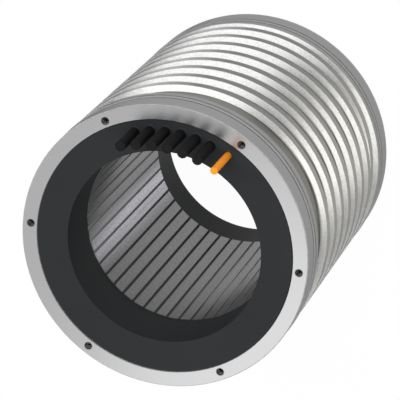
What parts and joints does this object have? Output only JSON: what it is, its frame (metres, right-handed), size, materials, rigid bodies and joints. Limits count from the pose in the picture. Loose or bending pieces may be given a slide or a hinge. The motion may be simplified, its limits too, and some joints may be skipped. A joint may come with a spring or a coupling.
{
  "type": "frameless motor stator",
  "caption": "Ring-shaped motor stator in an aluminium cooling sleeve with a spiral outer rib, slotted bore, potted winding ends and short lead stubs.",
  "frame": {"origin": "centre of the rear end face, on the stator axis", "axes": "+Z along the stator axis towards the front face that the leads come out of; the lead group is centred on -Y"},
  "size_m": [0.2006, 0.2006, 0.2685],
  "materials": {
    "jacket": "fine turned",
    "seal": "satin",
    "lamination": "ground, straight grain",
    "liner": "matte",
    "wedge": "matte",
    "winding": "enamelled copper wire",
    "busbar": "bare copper",
    "lead": "satin",
    "sensor_bead": "matte",
    "sensor_lead": "satin",
    "potting": "satin cast resin"
  },
  "bodies": {
    "root": {"cooling_jacket": "jacket", "front_seal": "seal", "rear_seal": "seal", "stator_core": "lamination", "slot_liners": "liner", "slot_wedges": "wedge", "coil_u1": "winding", "coil_u2": "winding", "coil_u3": "winding", "coil_u4": "winding", "coil_u5": "winding", "coil_u6": "winding", "coil_u7": "winding", "coil_u8": "winding", "coil_v1": "winding", "coil_v2": "winding", "coil_v3": "winding", "coil_v4": "winding", "coil_v5": "winding", "coil_v6": "winding", "coil_v7": "winding", "coil_v8": "winding", "coil_w1": "winding", "coil_w2": "winding", "coil_w3": "winding", "coil_w4": "winding", "coil_w5": "winding", "coil_w6": "winding", "coil_w7": "winding", "coil_w8": "winding", "star_ring": "busbar", "phase_ring_u": "busbar", "phase_ring_v": "busbar", "phase_ring_w": "busbar", "lead_u1": "lead", "lead_v1": "lead", "lead_w1": "lead", "lead_u2": "lead", "lead_v2": "lead", "lead_w2": "lead", "temperature_sensor": "sensor_bead", "sensor_lead": "sensor_lead", "front_potting": "potting", "rear_potting": "potting"}
  },
  "joints": []
}
